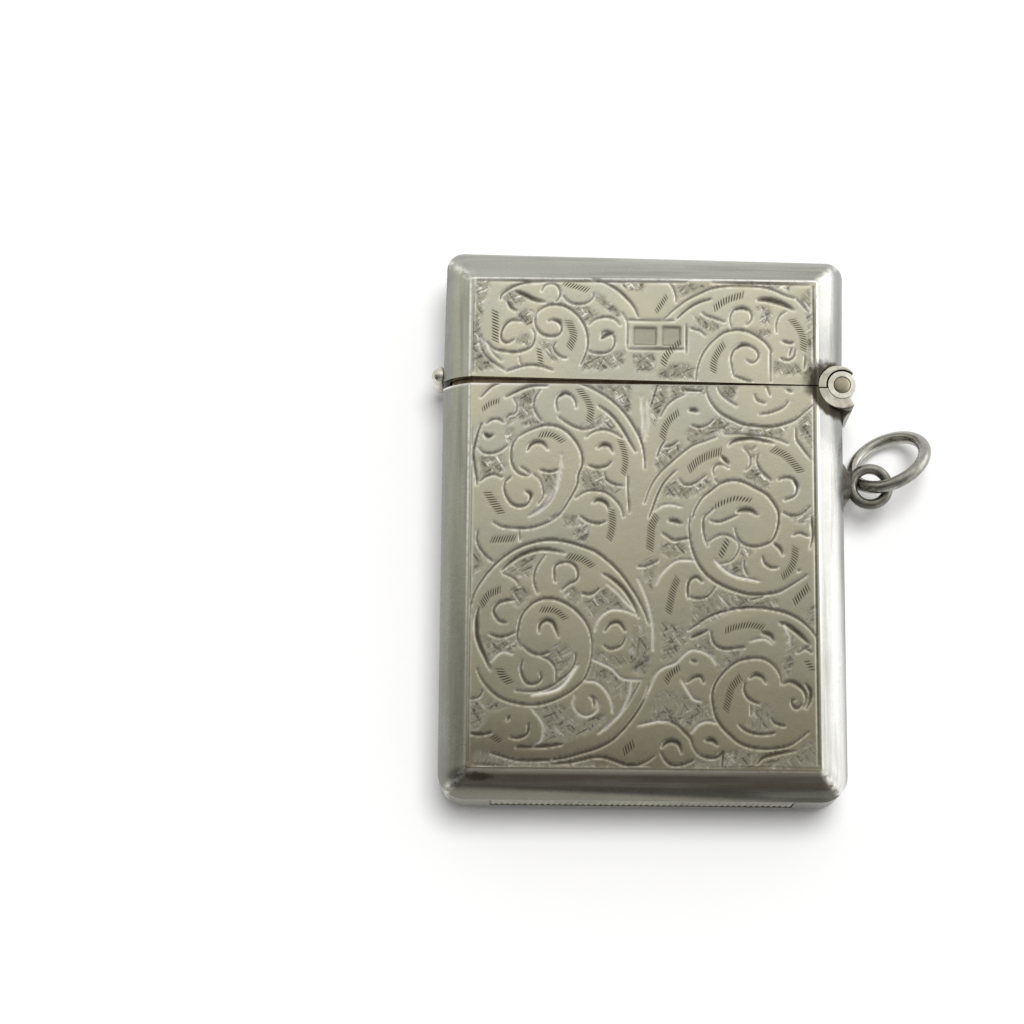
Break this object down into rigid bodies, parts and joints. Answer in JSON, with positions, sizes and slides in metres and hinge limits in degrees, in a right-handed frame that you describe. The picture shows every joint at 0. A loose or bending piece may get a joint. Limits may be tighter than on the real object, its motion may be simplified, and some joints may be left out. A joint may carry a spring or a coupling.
{
  "type": "vesta case",
  "caption": "Flat rectangular pocket match case with bevelled edges, side-hinged spring lid, thumb piece, ridged base striker and a jump ring on a side eye.",
  "frame": {"origin": "centre of the case on its flat back panel", "axes": "+X to the hinge side, +Y from base to lid, +Z out of the engraved front panel"},
  "size_m": [0.0441, 0.0486, 0.009],
  "materials": {
    "engraved_silver": "aged silver, engraved, dark patina in the cuts",
    "plain_silver": "aged silver, worn satin",
    "hinge_silver": "silver, polished by wear",
    "pin_silver": "silver wire, dull",
    "ring_silver": "tarnished silver wire",
    "inner_silver": "tarnished inner sheet",
    "striker_silver": "cut ridges, dull",
    "spring_steel": "spring steel"
  },
  "bodies": {
    "body": {"body_front_shell": "engraved_silver", "body_back_shell": "engraved_silver", "mouth_bezel": "inner_silver", "striker_plate": "striker_silver", "body_hinge_seat": "plain_silver", "hinge_knuckle_front": "hinge_silver", "hinge_knuckle_back": "hinge_silver", "hinge_pin": "pin_silver", "lid_spring": "spring_steel", "spring_anchor": "inner_silver", "spring_rivet": "inner_silver", "suspension_eye": "ring_silver", "eye_foot": "ring_silver"},
    "lid": {"lid_front_shell": "engraved_silver", "lid_back_shell": "engraved_silver", "lid_hinge_seat": "plain_silver", "lid_knuckle": "hinge_silver", "thumb_piece": "plain_silver"},
    "ring": {"jump_ring": "ring_silver"}
  },
  "joints": [
    {"name": "lid_hinge", "type": "hinge", "parent": "body", "child": "lid", "pos_m": [0.01735, 0.01243, 0.0045], "axis": [0, 0, -1], "range_deg": [-1, 95], "deforming": ["lid_spring"]},
    {"name": "ring_swing", "type": "hinge", "parent": "body", "child": "ring", "pos_m": [0.02009, 0.00422, 0.0045], "axis": [0, 0, 1], "range_deg": [-125, 10]}
  ]
}
